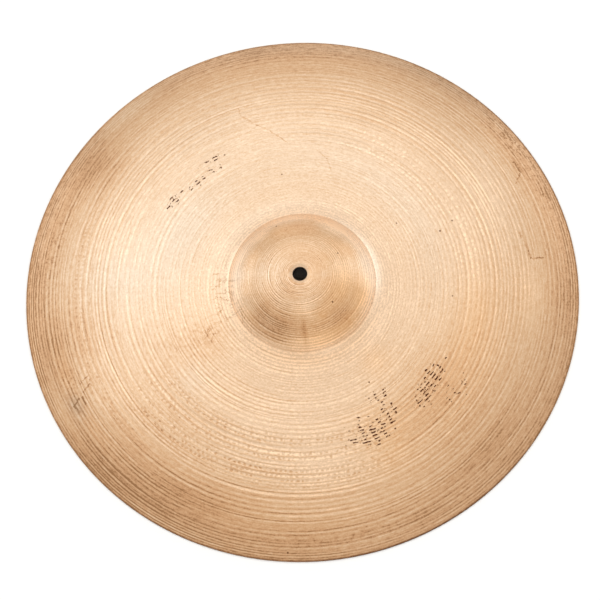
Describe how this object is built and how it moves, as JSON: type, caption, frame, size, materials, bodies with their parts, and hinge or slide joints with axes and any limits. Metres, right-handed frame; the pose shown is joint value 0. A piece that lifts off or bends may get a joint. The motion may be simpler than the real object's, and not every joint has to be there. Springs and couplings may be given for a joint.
{
  "type": "crash cymbal",
  "caption": "Thin lathed and hammered bronze crash cymbal with a domed bell, a shallow bow, a thin round edge and a plain centre hole.",
  "frame": {"origin": "centre of the rim plane, on the cymbal's axis", "axes": "+Z along the cymbal's axis, from the rim plane up through the bell; X and Y lie in the rim plane"},
  "size_m": [0.4572, 0.4572, 0.046],
  "materials": {
    "bronze": "lathed satin bell bronze, aged"
  },
  "bodies": {
    "root": {"cymbal": "bronze"}
  },
  "joints": []
}
